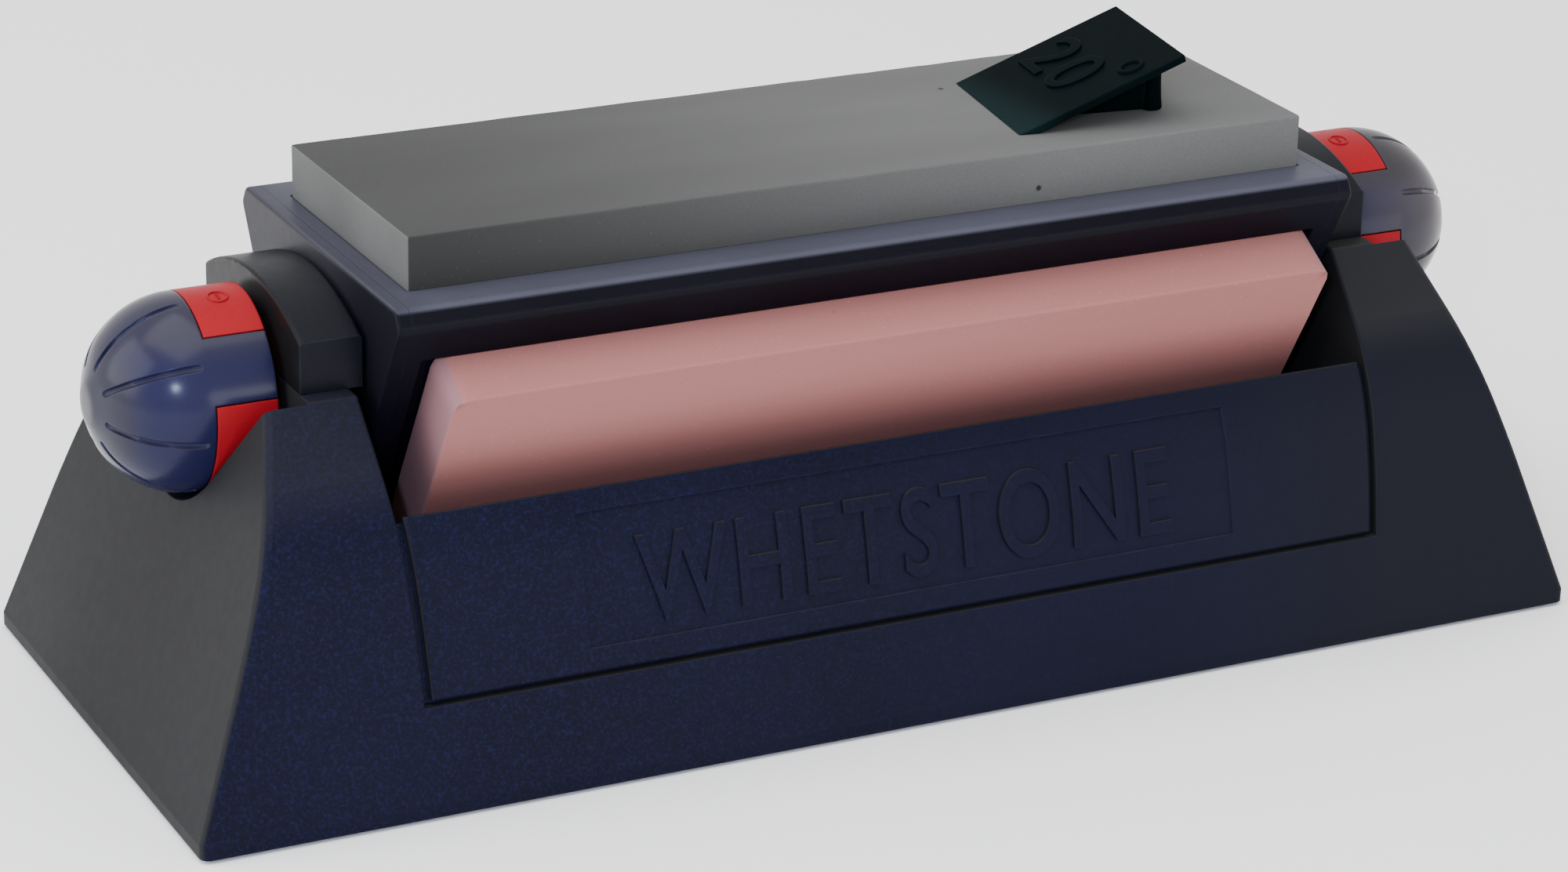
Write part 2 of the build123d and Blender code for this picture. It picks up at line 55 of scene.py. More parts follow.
# ---------------------------------------------------------------- shader helpers
class Shader:
    """Small builder for one node-based material in object space."""

    def __init__(self, name):
        self.mat = bpy.data.materials.new(name)
        self.mat.use_nodes = True
        self.tree = self.mat.node_tree
        self.bsdf = self.tree.nodes["Principled BSDF"]
        coords = self.tree.nodes.new("ShaderNodeTexCoord")
        self.coord, self.facing = coords.outputs["Object"], coords.outputs["Normal"]
        self.bevels = {}

    def node(self, kind, **values):
        """New node; a key that starts with _ sets a property, any other an input."""
        made = self.tree.nodes.new(kind)
        for key, value in values.items():
            if key.startswith("_"):
                setattr(made, key[1:], value)
            else:
                made.inputs[key].default_value = value
        return made

    def link(self, source, target):
        self.tree.links.new(source, target)

    def stretched(self, scale):
        """Object coordinates scaled along each axis."""
        made = self.node("ShaderNodeMapping")
        made.inputs["Scale"].default_value = scale
        self.link(self.coord, made.inputs["Vector"])
        return made.outputs["Vector"]

    def noise(self, mm, detail=4.0, rough=0.55, scale=None):
        """Noise whose features are about mm millimetres across."""
        made = self.node("ShaderNodeTexNoise", Scale=1.0 / (mm * MM), Detail=detail, Roughness=rough)
        self.link(self.stretched(scale) if scale else self.coord, made.inputs["Vector"])
        return made.outputs["Fac"]

    def cells(self, mm):
        """Cell pattern whose cells are about mm millimetres across."""
        made = self.node("ShaderNodeTexVoronoi", Scale=1.0 / (mm * MM), Randomness=1.0)
        self.link(self.coord, made.inputs["Vector"])
        return made

    def ramp(self, source, stops):
        """Colour or grey read from a value, by (position, colour or grey) stops."""
        made = self.tree.nodes.new("ShaderNodeValToRGB")
        ramp = made.color_ramp
        while len(ramp.elements) < len(stops):
            ramp.elements.new(0.5)
        for element, (pos, value) in zip(ramp.elements, stops):
            element.position = pos
            element.color = (value, value, value, 1) if isinstance(value, (int, float)) else (*value, 1)
        self.link(source, made.inputs["Fac"])
        return made.outputs["Color"]

    def mix(self, fac, a, b):
        """Blend of two colours; each argument is a socket or a constant."""
        made = self.tree.nodes.new("ShaderNodeMix")
        made.data_type, made.blend_type = "RGBA", "MIX"
        for socket, value in ((made.inputs[0], fac), (made.inputs[6], a), (made.inputs[7], b)):
            if hasattr(value, "links"):
                self.link(value, socket)
            elif isinstance(value, (int, float)):
                socket.default_value = value if socket.type == "VALUE" else (value, value, value, 1)
            else:
                socket.default_value = (*value, 1)
        return made.outputs[2]

    def math(self, op, a, b=0.0):
        """One arithmetic step; each argument is a socket or a constant."""
        made = self.tree.nodes.new("ShaderNodeMath")
        made.operation = op
        for socket, value in ((made.inputs[0], a), (made.inputs[1], b)):
            if hasattr(value, "links"):
                self.link(value, socket)
            else:
                socket.default_value = value
        return made.outputs[0]

    def bump(self, height, strength, mm, normal=None):
        made = self.node("ShaderNodeBump", Strength=strength, Distance=mm * MM)
        self.link(height, made.inputs["Height"])
        if normal is not None:
            self.link(normal, made.inputs["Normal"])
        return made.outputs["Normal"]

    def rounded(self, mm):
        """Normal that rolls over sharp edges, as a moulded edge does."""
        if mm not in self.bevels:
            self.bevels[mm] = self.node("ShaderNodeBevel", Radius=mm * MM, _samples=4).outputs["Normal"]
        return self.bevels[mm]

    def axis(self, vector, name):
        """One component of a vector."""
        made = self.tree.nodes.new("ShaderNodeSeparateXYZ")
        self.link(vector, made.inputs["Vector"])
        return made.outputs[name]

    def span(self, source, low, high, at_low=0.0, at_high=1.0):
        """Smooth step of a value from at_low at low to at_high at high."""
        made = self.tree.nodes.new("ShaderNodeMapRange")
        made.interpolation_type = "SMOOTHSTEP"
        for key, value in (("From Min", low), ("From Max", high), ("To Min", at_low), ("To Max", at_high)):
            made.inputs[key].default_value = value
        self.link(source, made.inputs["Value"])
        return made.outputs["Result"]

    def near(self, spot_mm, inner_mm, outer_mm):
        """1 within inner_mm of a place on the object, 0 beyond outer_mm."""
        made = self.tree.nodes.new("ShaderNodeVectorMath")
        made.operation = "DISTANCE"
        self.link(self.coord, made.inputs[0])
        made.inputs[1].default_value = [c * MM for c in spot_mm]
        return self.span(made.outputs["Value"], inner_mm * MM, outer_mm * MM, 1.0, 0.0)

    def edges(self, mm):
        """1 along edges, 0 on open faces."""
        geometry = self.tree.nodes.new("ShaderNodeNewGeometry")
        dot = self.tree.nodes.new("ShaderNodeVectorMath")
        dot.operation = "DOT_PRODUCT"
        self.link(self.rounded(mm), dot.inputs[0])
        self.link(geometry.outputs["Normal"], dot.inputs[1])
        return self.ramp(dot.outputs["Value"], [(0.72, 1.0), (0.97, 0.0)])

    def finish(self, color, rough, normal=None, **extra):
        """Join the sockets to the surface shader; extra sets its own inputs to constants."""
        self.link(color, self.bsdf.inputs["Base Color"])
        if hasattr(rough, "links"):
            self.link(rough, self.bsdf.inputs["Roughness"])
        else:
            self.bsdf.inputs["Roughness"].default_value = rough
        if normal is not None:
            self.link(normal, self.bsdf.inputs["Normal"])
        for key, value in extra.items():
            self.bsdf.inputs[key.replace("__", " ")].default_value = value
        return self.mat


def moulded(name, dark, light, edge, rough=(0.38, 0.55), grain=0.35, bevel=0.5, spec=0.5, edge_scuff_and_highlight=0.5,
            painted_end_sheen=None, painted_top_sheen=None, flecks=None, sheen_from=0.55, painted_light_end=None, sheen_to_back=False):
    """Moulded plastic: fine spark-eroded grain, faint tone drift, lighter edges that are partly scuffs and
    partly painted edge highlight.

    painted_end_sheen is painted sheen: the tone of the surfaces that face along X; painted_top_sheen is
    painted sheen on the ones that face up as it stands, half as strong at the -X end; flecks is a brighter
    pigment in fine grains, weaker towards +X; painted_light_end
    is painted light: a lighter tone at one end, full at its first place along X and gone at its second;
    sheen_to_back keeps the painted sheen on the faces along X mostly to the back."""
    s = Shader(name)
    drift = s.noise(60, 2, 0.4)
    fine = s.noise(0.55, 2, 0.6)
    tone = s.ramp(s.mix(0.35, drift, fine), [(0.36, dark), (0.66, light)])
    if flecks:
        grains = s.ramp(s.noise(0.8, 3, 0.7), [(0.48, 0.0), (0.70, 1.0)])
        where = s.span(s.axis(s.coord, "X"), -0.10, 0.06, 0.36, 0.08)
        tone = s.mix(s.math("MULTIPLY", grains, where), tone, flecks)
    # Painted light: one end gets a lighter tone, full at the first place along X and gone at the second.
    if painted_light_end:
        full_at, gone_at, lit_end_tone = painted_light_end
        tone = s.mix(s.span(s.axis(s.coord, "X"), full_at, gone_at, 0.9, 0.0), tone, lit_end_tone)
    # Painted sheen: faces along X and faces that point up get a lighter tone that stands in for light falling
    # on them.
    for painted_shading, direction, low, high in ((painted_top_sheen, "Z", 0.5, 0.8), (painted_end_sheen, "X", sheen_from, sheen_from + 0.3)):
        if painted_shading:
            facing = s.axis(s.facing, direction)
            cover = s.span(s.math("ABSOLUTE", facing) if direction == "X" else facing, low, high)
            # Painted sheen on the up faces, halved at the -X end.
            if direction == "Z":
                cover = s.math("MULTIPLY", cover, s.span(s.axis(s.coord, "X"), -0.112, -0.098, 0.5, 1.0))
            # Painted sheen on faces along X, cut to 0.12 of its strength towards the front.
            elif sheen_to_back:
                cover = s.math("MULTIPLY", cover, s.span(s.axis(s.coord, "Y"), -0.030, 0.004, 0.12, 1.0))
            thin = tuple(c * 0.82 for c in painted_shading)
            patches = s.mix(0.3, s.noise(30, 4, 0.6), fine)
            tone = s.mix(cover, tone, s.ramp(patches, [(0.35, thin), (0.7, painted_shading)]))
    # Lighter edge tone: partly scuffs, partly painted edge highlight.
    worn = s.math("MULTIPLY", s.edges(bevel), s.ramp(s.noise(7, 4), [(0.35, 0.25), (0.65, 0.9)]))
    tone = s.mix(s.math("MULTIPLY", worn, edge_scuff_and_highlight), tone, edge)
    gloss = s.ramp(s.mix(0.4, drift, s.noise(3, 4)), [(0.3, rough[0]), (0.7, rough[1])])
    normal = s.bump(fine, 0.2, grain * 0.3, s.rounded(bevel))
    return s.finish(tone, gloss, normal, Specular__IOR__Level=spec)


def abrasive(name, dark, mid, light, speck, pits=0.5, grit=0.35, speck_mm=1.6, specks=0.3, painted_shade_left=None,
             painted_end_shade=None, holes=()):
    """Bonded abrasive: tight grain, paler grit, faint rub streaks and a few open pores.

    painted_shade_left is how strongly painted shade darkens the top towards the -X end; the sides are
    darkened towards that end too, the end faces not; painted_end_shade is the tone of painted shade on the
    end faces, holes the places of single open pores."""
    s = Shader(name)
    grain = s.noise(grit, 3, 0.7)
    streak = s.noise(50, 3, 0.5, scale=(0.3, 1.4, 1.4))
    base = s.ramp(streak, [(0.30, dark), (0.5, mid), (0.72, light)])
    base = s.mix(0.4, base, s.ramp(grain, [(0.3, dark), (0.5, mid), (0.72, light)]))
    # Painted shade: the top and sides are darkened towards the -X end; the end faces are left out.
    if painted_shade_left:
        along = s.axis(s.coord, "X")
        upright = s.span(s.math("ABSOLUTE", s.axis(s.facing, "Y")), 0.5, 0.9)
        end = s.span(s.math("ABSOLUTE", s.axis(s.facing, "X")), 0.5, 0.9)
        top_shade_amount = s.span(along, -0.115, 0.06, painted_shade_left, 0.0)
        side_shade_amount = s.span(along, -0.125, 0.10, 0.86, -0.20)
        painted_shading = s.mix(end, s.mix(upright, top_shade_amount, side_shade_amount), 0.0)
        base = s.mix(painted_shading, base, tuple(c * 0.16 for c in dark))
    # Painted shade: the end faces get a darker purple-grey tone.
    if painted_end_shade:
        end_bevel = s.span(s.math("ABSOLUTE", s.axis(s.facing, "X")), 0.3, 0.6, 0.0, 0.7)
        base = s.mix(end_bevel, base, painted_end_shade)
    bits = s.ramp(s.cells(speck_mm).outputs["Distance"], [(0.05, 1.0), (0.12, 0.0)])
    base = s.mix(s.math("MULTIPLY", bits, specks), base, speck)
    pores = s.ramp(s.cells(15).outputs["Distance"], [(0.014, 1.0), (0.034, 0.0)])
    keep = s.ramp(s.noise(40, 2), [(0.54, 0.0), (0.60, 1.0)])
    pores = s.math("MULTIPLY", s.math("MULTIPLY", pores, keep), pits)
    for spot in holes:
        pores = s.math("MAXIMUM", pores, s.near(spot, 0.35, 0.85))
    base = s.mix(pores, base, tuple(c * 0.22 for c in dark))
    gloss = s.ramp(s.mix(0.5, streak, grain), [(0.3, 0.78), (0.7, 0.95)])
    normal = s.bump(grain, 0.4, 0.10)
    normal = s.bump(pores, -0.6, 0.5, normal)
    return s.finish(base, gloss, normal, Specular__IOR__Level=0.2)


def metal(name, tint, rough=(0.22, 0.4)):
    """Turned or plated metal with fine lines and smudges."""
    s = Shader(name)
    lines = s.noise(0.5, 2, 0.6, scale=(6.0, 1.0, 1.0))
    smudge = s.noise(6, 4)
    color = s.ramp(s.mix(0.5, lines, smudge), [(0.3, tuple(c * 0.7 for c in tint)), (0.7, tint)])
    gloss = s.ramp(smudge, [(0.3, rough[0]), (0.7, rough[1])])
    return s.finish(color, gloss, s.bump(lines, 0.15, 0.05, s.rounded(0.2)), Metallic=1.0)


def elastic(name, dark, light, rough=0.8):
    """Rubber or fibre: matt, with dust and a faint pebble."""
    s = Shader(name)
    dust = s.noise(5, 4)
    pebble = s.cells(0.9).outputs["Distance"]
    color = s.ramp(s.mix(0.35, dust, pebble), [(0.25, dark), (0.75, light)])
    return s.finish(color, s.ramp(dust, [(0.3, rough - 0.1), (0.7, rough + 0.1)]), s.bump(pebble, 0.25, 0.15))


# The plastics' tones for faces along X, for faces pointing up and for one lighter end are painted sheen and
# painted light, and their edge tones are partly painted edge highlight; the grey stone's darkening towards -X
# and the pink stone's end tone are painted shade.
MATERIALS = {
    "base_plastic": moulded("navy_moulding", (0.0018, 0.0021, 0.0085), (0.0036, 0.0041, 0.0145),
                            (0.018, 0.022, 0.085), rough=(0.46, 0.60), spec=0.07, edge_scuff_and_highlight=0.55,
                            painted_end_sheen=(0.0150, 0.0150, 0.0165), painted_top_sheen=(0.020, 0.020, 0.020),
                            flecks=(0.010, 0.013, 0.065), painted_light_end=(0.130, 0.040, (0.0058, 0.0062, 0.0105))),
    "cover_plastic": moulded("black_moulding", (0.004, 0.004, 0.006), (0.008, 0.008, 0.010),
                             (0.03, 0.03, 0.035), spec=0.12),
    "carrier_plastic": moulded("carrier_moulding", (0.0012, 0.0012, 0.0034), (0.0026, 0.0026, 0.0066),
                               (0.016, 0.018, 0.05), rough=(0.36, 0.48), spec=0.08, edge_scuff_and_highlight=0.4,
                               painted_end_sheen=(0.028, 0.027, 0.034), painted_top_sheen=(0.058, 0.058, 0.080), sheen_to_back=True),
    "block_plastic": moulded("block_moulding", (0.0026, 0.0030, 0.0052), (0.0052, 0.0058, 0.0098),
                             (0.05, 0.055, 0.07), rough=(0.32, 0.44), spec=0.09, edge_scuff_and_highlight=0.8,
                             painted_end_sheen=(0.0062, 0.0062, 0.0068)),
    "knob_plastic": moulded("slate_blue_moulding", (0.0085, 0.0088, 0.036), (0.0118, 0.0122, 0.045),
                            (0.05, 0.055, 0.12), rough=(0.17, 0.25), grain=0.08, spec=0.18, edge_scuff_and_highlight=0.25,
                            painted_end_sheen=(0.026, 0.025, 0.040), painted_top_sheen=(0.032, 0.028, 0.033), sheen_from=0.55,
                            painted_light_end=(0.150, 0.115, (0.052, 0.046, 0.050))),
    "ring_plastic": moulded("red_moulding", (0.25, 0.006, 0.011), (0.31, 0.009, 0.015), (0.40, 0.03, 0.035),
                            rough=(0.36, 0.48), grain=0.2, spec=0.07, edge_scuff_and_highlight=0.2),
    "guide_plastic": moulded("dark_teal_moulding", (0.0003, 0.0021, 0.0024), (0.0008, 0.0036, 0.0041),
                             (0.012, 0.030, 0.030), rough=(0.46, 0.56), spec=0.012, edge_scuff_and_highlight=0.8,
                             painted_light_end=(0.0405, 0.0520, (0.0045, 0.0130, 0.0138))),
    "grey_stone": abrasive("grey_abrasive", (0.070, 0.070, 0.069), (0.095, 0.095, 0.094),
                           (0.124, 0.124, 0.122), (0.20, 0.20, 0.20), pits=0.9, specks=0.15, painted_shade_left=0.68,
                           holes=((40.0, 14.5, 110.0), (38.6, -31.7, 101.9))),
    "pink_stone": abrasive("pink_abrasive", (0.265, 0.103, 0.095), (0.302, 0.119, 0.110),
                           (0.338, 0.142, 0.130), (0.50, 0.27, 0.24), painted_end_shade=(0.215, 0.125, 0.148),
                           pits=0.15, speck_mm=2.6, specks=0.25),
    "pale_stone": abrasive("pale_abrasive", (0.42, 0.41, 0.37), (0.50, 0.49, 0.45), (0.58, 0.57, 0.52),
                           (0.72, 0.72, 0.70), pits=0.15),
    "pad_rubber": elastic("black_rubber", (0.012, 0.012, 0.012), (0.03, 0.03, 0.03)),
    "foot_rubber": elastic("foot_rubber_grey", (0.015, 0.015, 0.016), (0.035, 0.035, 0.037)),
    "steel": metal("turned_steel", (0.60, 0.60, 0.60)),
    "zinc_screw": metal("zinc_plate", (0.62, 0.63, 0.61), rough=(0.28, 0.45)),
    "bearing_bronze": metal("bearing_bronze_metal", (0.55, 0.37, 0.17)),
    "friction_fibre": elastic("pressed_fibre", (0.06, 0.035, 0.02), (0.12, 0.075, 0.045)),
}


def dress(obj, slot):
    """Give an object one procedural material by its record slot."""
    obj.data.materials.clear()
    obj.data.materials.append(MATERIALS[slot])


SLOT_OF = {part["node"]: part["material_slot"] for part in frame["record"]["subparts"]}
BODY_OF = {node: body for body, names in frame["record"]["behaviour"]["bodies"].items()
           for node in (names if isinstance(names, list) else names["nodes"])}
for node, obj in NODES.items():
    dress(obj, SLOT_OF[node])


def piece(name, mesh, slot, body, smooth=True):
    """A new visible piece with its material slot, riding a body."""
    obj = bpy.data.objects.new(name, mesh)
    bpy.context.scene.collection.objects.link(obj)
    for face in mesh.polygons:
        face.use_smooth = smooth
    dress(obj, slot)
    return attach(obj, body)


# ---------------------------------------------------------------- stones
AXLE_Z, STONE_MM, SEAT_MM = 72.4, (203.2, 63.5, 12.7), 24.9     # seat: a stone's underside from the axle
GRID_MM = 2.4                                                   # spacing of a stone's mesh lines


def grid_line(half, edge):
    """Positions from -half to half: close together by the edges, evenly spaced between."""
    near = [half - edge * k for k in (0.0, 0.25, 0.5, 0.75, 1.0)]
    count = max(2, round(2 * (half - edge) / GRID_MM))
    middle = [(half - edge) * (2 * k / count - 1) for k in range(1, count)]
    return [-v for v in near] + middle + near[::-1]


def worn_stone(name, node, length, turn, shift=0.0, nip=0.0, edge=1.0, seed=0):
    """A stone with rubbed edges, small nicks along them and a faint hollow from use.

    turn is its place about the axle in degrees, nip cuts its four upright corners."""
    half = (length / 2, STONE_MM[1] / 2, STONE_MM[2] / 2)
    lines = [grid_line(h, edge) for h in half]
    grid = bmesh.new()
    made = {}

    def vertex(i, j, k):
        if (i, j, k) not in made:
            made[i, j, k] = grid.verts.new((lines[0][i], lines[1][j], lines[2][k]))
        return made[i, j, k]

    sizes = [len(line) for line in lines]
    for axis in range(3):
        a, b = [n for n in range(3) if n != axis]
        for end in (0, sizes[axis] - 1):
            for u in range(sizes[a] - 1):
                for v in range(sizes[b] - 1):
                    corners = []
                    for du, dv in ((0, 0), (1, 0), (1, 1), (0, 1)):
                        at = [0, 0, 0]
                        at[axis], at[a], at[b] = end, u + du, v + dv
                        corners.append(vertex(*at))
                    grid.faces.new(corners)
    bmesh.ops.recalc_face_normals(grid, faces=grid.faces)
    place = (Matrix.Translation((0, 0, AXLE_Z * MM)) @ Matrix.Rotation(math.radians(turn), 4, "X")
             @ Matrix.Translation((shift * MM, 0, (SEAT_MM + half[2]) * MM)))
    for vert in grid.verts:
        p = vert.co
        rough = noise.noise(Vector((p.x * 0.11 + seed, p.y * 0.11, p.z * 0.11)))
        nick = max(0.0, noise.noise(Vector((p.x * 0.5, p.y * 0.5 + seed, p.z * 0.5))) - 0.35)
        r = 0.42 + 0.16 * rough + 0.9 * nick
        inner = Vector([max(r - h, min(h - r, c)) for h, c in zip(half, p)])
        away = p - inner
        if away.length > r:
            p = inner + away.normalized() * r
        over = abs(p.x) + abs(p.y) - (half[0] + half[1] - nip)
        if nip and over > 0:
            p.x -= math.copysign(over / 2, p.x)
            p.y -= math.copysign(over / 2, p.y)
        p.z -= max(0.0, p.z / half[2]) * 0.05 * (1.0 + rough) * max(0.0, 1 - (p.x / half[0]) ** 2)
        vert.co = place @ (p * MM)
    mesh = bpy.data.meshes.new(name)
    grid.to_mesh(mesh)
    grid.free()
    obj = piece(name, mesh, SLOT_OF[node], BODY_OF[node])
    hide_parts(node)


worn_stone("grey_stone_worn", "top_stone", STONE_MM[0], 0, seed=3)
worn_stone("pink_stone_worn", "front_stone", 200.0, 120, shift=1.2, nip=2.2, seed=11)
worn_stone("pale_stone_worn", "rear_stone", STONE_MM[0], -120, seed=23)


# ---------------------------------------------------------------- raised marks
def letters(text, width, height, depth, slices):
    """Mesh of raised letters, centred, sliced level by level so that it can follow a curved face."""
    curve = bpy.data.curves.new(text, "FONT")
    curve.body, curve.size, curve.space_character = text, 10.0, 1.12
    curve.extrude, curve.bevel_depth, curve.bevel_resolution = 0.5, 0.06, 1
    temp = bpy.data.objects.new(text, curve)
    bpy.context.scene.collection.objects.link(temp)
    bpy.context.view_layer.update()
    mesh = bpy.data.meshes.new_from_object(temp.evaluated_get(bpy.context.evaluated_depsgraph_get()))
    bpy.data.objects.remove(temp)
    work = bmesh.new()
    work.from_mesh(mesh)
    lows = [min(v.co[n] for v in work.verts) for n in range(3)]
    highs = [max(v.co[n] for v in work.verts) for n in range(3)]
    for vert in work.verts:
        for n, span in enumerate((width, height, depth)):
            vert.co[n] = ((vert.co[n] - lows[n]) / (highs[n] - lows[n]) - (0.5 if n < 2 else 0.0)) * span
    for k in range(1, slices):
        bmesh.ops.bisect_plane(work, geom=work.verts[:] + work.edges[:] + work.faces[:],
                               plane_co=(0, height * (k / slices - 0.5), 0), plane_no=(0, 1, 0))
    work.to_mesh(mesh)
    work.free()
    return mesh


WORD_LEFT, WORD_UP, WORD_SUNK = 1.5, 40.2, 0.15
WORD_WIDTH, WORD_HEIGHT, WORD_DEPTH = 122.0, 17.8, 0.95
FAR_FRONT = -0.09           # metres; the word's rays start here, in front of the panel


def panel_word():
    """A plain word raised in the blank field of the front panel, following its curve."""
    host = NODES["front_panel"]
    mesh = letters("WHETSTONE", WORD_WIDTH, WORD_HEIGHT, WORD_DEPTH, 10)
    for vert in mesh.vertices:
        x, up, out = vert.co
        start = Vector(((x - WORD_LEFT) * MM, FAR_FRONT, (up + WORD_UP) * MM))
        _, spot, _, _ = host.ray_cast(start, Vector((0, 1, 0)))
        vert.co = Vector((start.x, spot.y - (out - WORD_SUNK) * MM, start.z))
    piece("panel_word", mesh, "base_plastic", "base", smooth=False)


GUIDE_TILT = math.radians(21.8)
GUIDE_SLOPE = math.tan(GUIDE_TILT)
GUIDE_RUN, GUIDE_HALF_W, GUIDE_DROP = 36.77, 19.0, 1.94
GUIDE_LEG_AT, GUIDE_LEG_OFF, GUIDE_WEB_HALF = 34.3, 8.0, 0.9
GUIDE_LEG = [(2.2, 0.0), (2.4, 0.25), (2.38, 0.8), (2.2, 2.4), (2.05, 5.5), (1.9, 12.5)]   # radius, height
GUIDE_FOOT = Matrix.Translation((0.0419, -0.0022, 0.110)) @ Matrix.Rotation(math.radians(-7.8), 4, "Z")
GUIDE_FRAME = GUIDE_FOOT @ Matrix.Rotation(-GUIDE_TILT, 4, "Y")
FIGURE_WIDTH, FIGURE_HEIGHT, FIGURE_DEPTH, FIGURE_SUNK = 22.5, 13.4, 0.6, 0.12
FIGURE_AT, DEGREE_AT, DEGREE_R = (20.2, 3.2), (29.4, -12.9), 2.4      # up the slope and across it


def bridge(work, rows):
    """Quads between neighbouring closed rows of vertices."""
    for low, high in zip(rows, rows[1:]):
        for n in range(len(low)):
            m = (n + 1) % len(low)
            work.faces.new((low[n], low[m], high[m], high[n]))


def prism(work, outline, y0, y1, ease):
    """Prism with an outline drawn in XZ, from y0 to y1, with its edges eased."""
    sides = [[work.verts.new((x, y, z)) for x, z in outline] for y in (y0, y1)]
    count = len(outline)
    faces = [work.faces.new(sides[0]), work.faces.new(sides[1][::-1])]
    for k in range(count):
        nxt = (k + 1) % count
        faces.append(work.faces.new((sides[0][k], sides[1][k], sides[1][nxt], sides[0][nxt])))
    bmesh.ops.recalc_face_normals(work, faces=faces)
    edges = list(dict.fromkeys(edge for face in faces for edge in face.edges))
    bmesh.ops.bevel(work, geom=edges, offset=ease, segments=3, affect="EDGES", profile=0.5)


def guide_body():
    """The angle guide: thin sloping plate, two webs and two round legs with flared feet."""
    work = bmesh.new()
    rise = GUIDE_RUN * GUIDE_SLOPE
    plate = [(0.15, 0.06), (GUIDE_RUN, rise), (GUIDE_RUN + 0.5, rise - GUIDE_DROP + 0.4),
             (GUIDE_DROP / GUIDE_SLOPE, 0.03)]
    prism(work, plate, -GUIDE_HALF_W, GUIDE_HALF_W, 0.22)
    web = [(5.5, 0.1), (GUIDE_LEG_AT, 0.1), (GUIDE_LEG_AT, GUIDE_LEG_AT * GUIDE_SLOPE - 1),
           (5.5, 5.5 * GUIDE_SLOPE - 0.9)]
    turns = [2 * math.pi * n / 36 for n in range(36)]
    for y in (-GUIDE_LEG_OFF, GUIDE_LEG_OFF):
        prism(work, web, y - GUIDE_WEB_HALF, y + GUIDE_WEB_HALF, 0.12)
        rows = [[work.verts.new((GUIDE_LEG_AT + r * math.cos(a), y + r * math.sin(a), z)) for a in turns]
                for r, z in GUIDE_LEG]
        work.faces.new(rows[0][::-1])
        work.faces.new(rows[-1])
        bridge(work, rows)
    place = GUIDE_FOOT @ Matrix.Scale(MM, 4)
    for vert in work.verts:
        vert.co = place @ vert.co
    mesh = bpy.data.meshes.new("guide_body")
    work.to_mesh(mesh)
    work.free()
    obj = piece("guide_body", mesh, "guide_plastic", "guide", smooth=False)
    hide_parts("angle_guide")


def guide_mark():
    """Raised angle figure and degree ring on the guide's plate; it reads across the slope."""
    mesh = letters("20", FIGURE_WIDTH, FIGURE_HEIGHT, FIGURE_DEPTH, 1)
    for vert in mesh.vertices:
        across, up, out = vert.co
        vert.co = GUIDE_FRAME @ (Vector((up + FIGURE_AT[0], FIGURE_AT[1] - across, out - FIGURE_SUNK)) * MM)
    piece("guide_figure", mesh, "guide_plastic", "guide", smooth=False)
    ring = bmesh.new()
    place = GUIDE_FRAME @ Matrix.Translation(Vector((*DEGREE_AT, 0.0)) * MM)
    add_torus(ring, place, DEGREE_R, 0.6, 0.75)
    made = bpy.data.meshes.new("guide_degree")
    ring.to_mesh(made)
    ring.free()
    piece("guide_degree", made, "guide_plastic", "guide")


def add_torus(work, place, radius, width, squash, steps=40, around=10):
    """A flattened ring in the XY plane of place, half sunk."""
    rows = []
    for i in range(steps):
        a = 2 * math.pi * i / steps
        row = []
        for k in range(around):
            b = 2 * math.pi * k / around
            r = radius + width * math.cos(b)
            row.append(work.verts.new(place @ (Vector((r * math.cos(a), r * math.sin(a),
                                                       width * squash * math.sin(b))) * MM)))
        rows.append(row)
    for i in range(steps):
        for k in range(around):
            nxt, up = (i + 1) % steps, (k + 1) % around
            work.faces.new((rows[i][k], rows[nxt][k], rows[nxt][up], rows[i][up]))


LUG_X, LUG_FACE, LUG_TURN = 0.1306, 0.0203, 9       # metres from the middle and from the axle; degrees


def lug_marks(side):
    """Small raised ring with three pips on each of a coloured ring's three lugs."""
    work = bmesh.new()
    for k in range(3):
        turn = Matrix.Rotation(math.radians(120 * k + LUG_TURN), 4, "X")
        place = (Matrix.Translation((side * LUG_X, 0, AXLE_Z * MM)) @ turn
                 @ Matrix.Translation((0, 0, LUG_FACE)))
        add_torus(work, place, 2.0, 0.30, 0.8, steps=32, around=8)
        for y in (-0.75, 0.0, 0.75):
            add_torus(work, place @ Matrix.Translation((0, y * MM, 0)), 0.14, 0.22, 0.8, steps=12, around=8)
    name = "right" if side > 0 else "left"
    mesh = bpy.data.meshes.new(f"{name}_lug_marks")
    work.to_mesh(mesh)
    work.free()
    piece(f"{name}_lug_marks", mesh, "ring_plastic", "carrier")


SPRING_TURNS, SPRING_R, SPRING_WIRE_R = 5, 8.0, 0.6
SPRING_FROM, SPRING_TO, SPRING_SEAT = 129.5, 145.5, 146.2       # wire's centre line, and the washer's face


